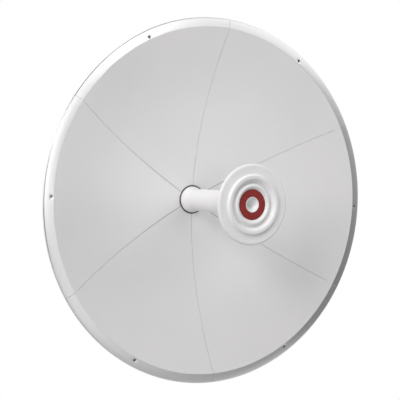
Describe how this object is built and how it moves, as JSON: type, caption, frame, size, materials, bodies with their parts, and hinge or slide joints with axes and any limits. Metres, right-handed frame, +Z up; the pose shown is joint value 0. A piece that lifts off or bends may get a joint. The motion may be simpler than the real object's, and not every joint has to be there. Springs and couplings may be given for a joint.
{
  "type": "microwave dish antenna",
  "caption": "Round parabolic reflector of pressed white petals with a rim flange, axial feed tube, ringed sub-reflector disc and a flat rear bolting flange.",
  "frame": {"origin": "centre of the flat rear face of the mount flange, on the dish axis", "axes": "-Y is the way the dish looks, +Y points out of the mount face to the rear, +X is right seen from the front, +Z is up through a petal seam"},
  "size_m": [0.65, 0.2683, 0.65],
  "materials": {
    "white_sheet": "white powder coat, satin to gloss",
    "grey_hub": "light grey powder coat on cast aluminium",
    "nickel": "nickel plated thread",
    "black_rubber": "matt black rubber",
    "white_plastic": "satin white moulded plastic",
    "red_rubber": "dark red silicone rubber"
  },
  "bodies": {
    "root": {"petal_1": "white_sheet", "petal_2": "white_sheet", "petal_3": "white_sheet", "petal_4": "white_sheet", "petal_5": "white_sheet", "petal_6": "white_sheet", "hub_plate": "grey_hub", "hub_tube": "grey_hub", "hub_gusset_1": "grey_hub", "hub_gusset_2": "grey_hub", "hub_gusset_3": "grey_hub", "hub_gusset_4": "grey_hub", "hub_gusset_5": "grey_hub", "hub_gusset_6": "grey_hub", "mount_flange": "grey_hub", "jack_block": "grey_hub", "cable_jack_1": "nickel", "cable_jack_2": "nickel", "feed_gasket": "black_rubber", "feed_tube": "white_plastic", "feed_cone": "white_plastic", "sub_reflector": "white_plastic", "seal_ring": "red_rubber", "centre_cup": "white_plastic"}
  },
  "joints": []
}
